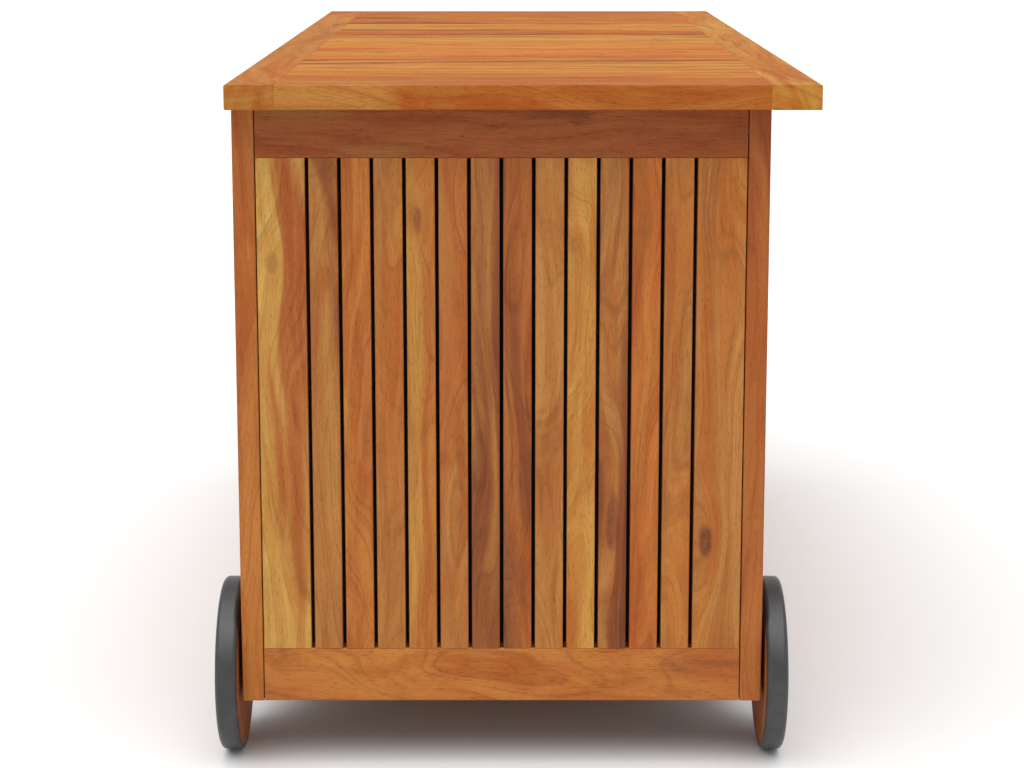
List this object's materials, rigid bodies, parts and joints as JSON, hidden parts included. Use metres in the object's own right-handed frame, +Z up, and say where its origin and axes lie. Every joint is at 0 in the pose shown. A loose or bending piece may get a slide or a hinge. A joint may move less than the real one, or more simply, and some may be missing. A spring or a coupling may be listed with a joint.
{
  "type": "deck storage box",
  "caption": "Slatted wooden storage chest for a deck, with a hinged lid on gas struts, a cloth liner, a pull handle and two rubber-tyred wooden wheels at one end.",
  "frame": {"origin": "on the floor under the middle of the whole object's box", "axes": "+Z up; X along the box, the wheels towards -X and the pull handle towards +X; -Y is the front with the lid's overhang, +Y the hinged back"},
  "size_m": [1.13, 0.5, 0.58],
  "materials": {
    "wall_wood": "oiled acacia, satin, strong colour change from board to board",
    "lid_wood": "oiled acacia, satin, golden",
    "inner_wood": "planed acacia, thinly oiled",
    "wheel_wood": "oiled acacia, red-brown",
    "tyre_rubber": "moulded dark grey rubber, soft sheen",
    "zinc_steel": "zinc-plated steel",
    "black_steel": "black powder coat",
    "polished_rod": "polished rod",
    "black_nylon": "black moulded nylon",
    "liner_cloth": "black coated polyester cloth"
  },
  "bodies": {
    "box": {"front_wall_bottom_rail": "wall_wood", "front_wall_top_rail": "wall_wood", "front_wall_wheel_stile": "wall_wood", "front_wall_leg_stile": "wall_wood", "front_wall_slats": "wall_wood", "back_wall_bottom_rail": "wall_wood", "back_wall_top_rail": "wall_wood", "back_wall_wheel_stile": "wall_wood", "back_wall_leg_stile": "wall_wood", "back_wall_slats": "wall_wood", "wheel_end_bottom_rail": "wall_wood", "wheel_end_top_rail": "wall_wood", "wheel_end_outer_boards": "wall_wood", "wheel_end_slats": "wall_wood", "handle_end_bottom_rail": "wall_wood", "handle_end_top_rail": "wall_wood", "handle_end_outer_boards": "wall_wood", "handle_end_slats": "wall_wood", "floor_ledges": "inner_wood", "floor_boards": "inner_wood", "floor_screws": "zinc_steel", "ledge_screws": "zinc_steel", "corner_bolts": "zinc_steel", "cross_dowels": "zinc_steel", "handle_bar": "wall_wood", "handle_blocks": "wall_wood", "handle_bolts": "zinc_steel", "leg_glides": "black_nylon", "liner": "liner_cloth", "liner_snaps": "black_nylon", "axle": "zinc_steel", "axle_washers": "zinc_steel", "hub_caps": "zinc_steel", "hinge_wall_leaves": "zinc_steel", "hinge_wall_screws": "zinc_steel", "hinge_pins": "zinc_steel", "wall_brackets": "black_steel", "wall_bracket_screws": "zinc_steel"},
    "lid": {"lid_front_rail": "lid_wood", "lid_back_rail": "lid_wood", "lid_wheel_end_board": "lid_wood", "lid_handle_end_board": "lid_wood", "lid_slats": "lid_wood", "lid_battens": "inner_wood", "lid_batten_screws": "zinc_steel", "hinge_lid_leaves": "zinc_steel", "hinge_lid_screws": "zinc_steel", "lid_brackets": "black_steel", "lid_bracket_screws": "zinc_steel"},
    "front_wheel": {"front_wheel_disc": "wheel_wood", "front_tyre": "tyre_rubber", "front_hub_bush": "black_nylon"},
    "back_wheel": {"back_wheel_disc": "wheel_wood", "back_tyre": "tyre_rubber", "back_hub_bush": "black_nylon"},
    "wheel_end_cylinder": {"wheel_end_strut_cylinder": "black_steel"},
    "handle_end_cylinder": {"handle_end_strut_cylinder": "black_steel"},
    "wheel_end_rod": {"wheel_end_strut_rod": "polished_rod"},
    "handle_end_rod": {"handle_end_strut_rod": "polished_rod"}
  },
  "joints": [
    {"name": "lid_hinge", "type": "hinge", "parent": "box", "child": "lid", "pos_m": [0, 0.2292, 0.56], "axis": [-1, 0, 0], "range_deg": [0, 85]},
    {"name": "front_wheel_spin", "type": "hinge", "parent": "box", "child": "front_wheel", "pos_m": [-0.476, -0.2259, 0.074], "axis": [0, 1, 0], "continuous": true},
    {"name": "back_wheel_spin", "type": "hinge", "parent": "box", "child": "back_wheel", "pos_m": [-0.476, 0.2355, 0.074], "axis": [0, 1, 0], "continuous": true},
    {"name": "wheel_end_cylinder_swing", "type": "hinge", "parent": "box", "child": "wheel_end_cylinder", "pos_m": [-0.498, 0.18511, 0.38548], "axis": [-1, 0, 0], "range_deg": [0, 42.5]},
    {"name": "handle_end_cylinder_swing", "type": "hinge", "parent": "box", "child": "handle_end_cylinder", "pos_m": [0.498, 0.18511, 0.38548], "axis": [-1, 0, 0], "range_deg": [0, 42.5]},
    {"name": "wheel_end_rod_swing", "type": "hinge", "parent": "lid", "child": "wheel_end_rod", "pos_m": [-0.498, 0.0496, 0.548], "axis": [-1, 0, 0], "range_deg": [-42.5, 0]},
    {"name": "handle_end_rod_swing", "type": "hinge", "parent": "lid", "child": "handle_end_rod", "pos_m": [0.498, 0.0496, 0.548], "axis": [-1, 0, 0], "range_deg": [-42.5, 0]}
  ],
  "couplings": [
    {"joint": "wheel_end_cylinder_swing", "follows": "lid_hinge", "ratio": 0.5},
    {"joint": "handle_end_cylinder_swing", "follows": "lid_hinge", "ratio": 0.5},
    {"joint": "wheel_end_rod_swing", "follows": "lid_hinge", "ratio": -0.5},
    {"joint": "handle_end_rod_swing", "follows": "lid_hinge", "ratio": -0.5}
  ]
}
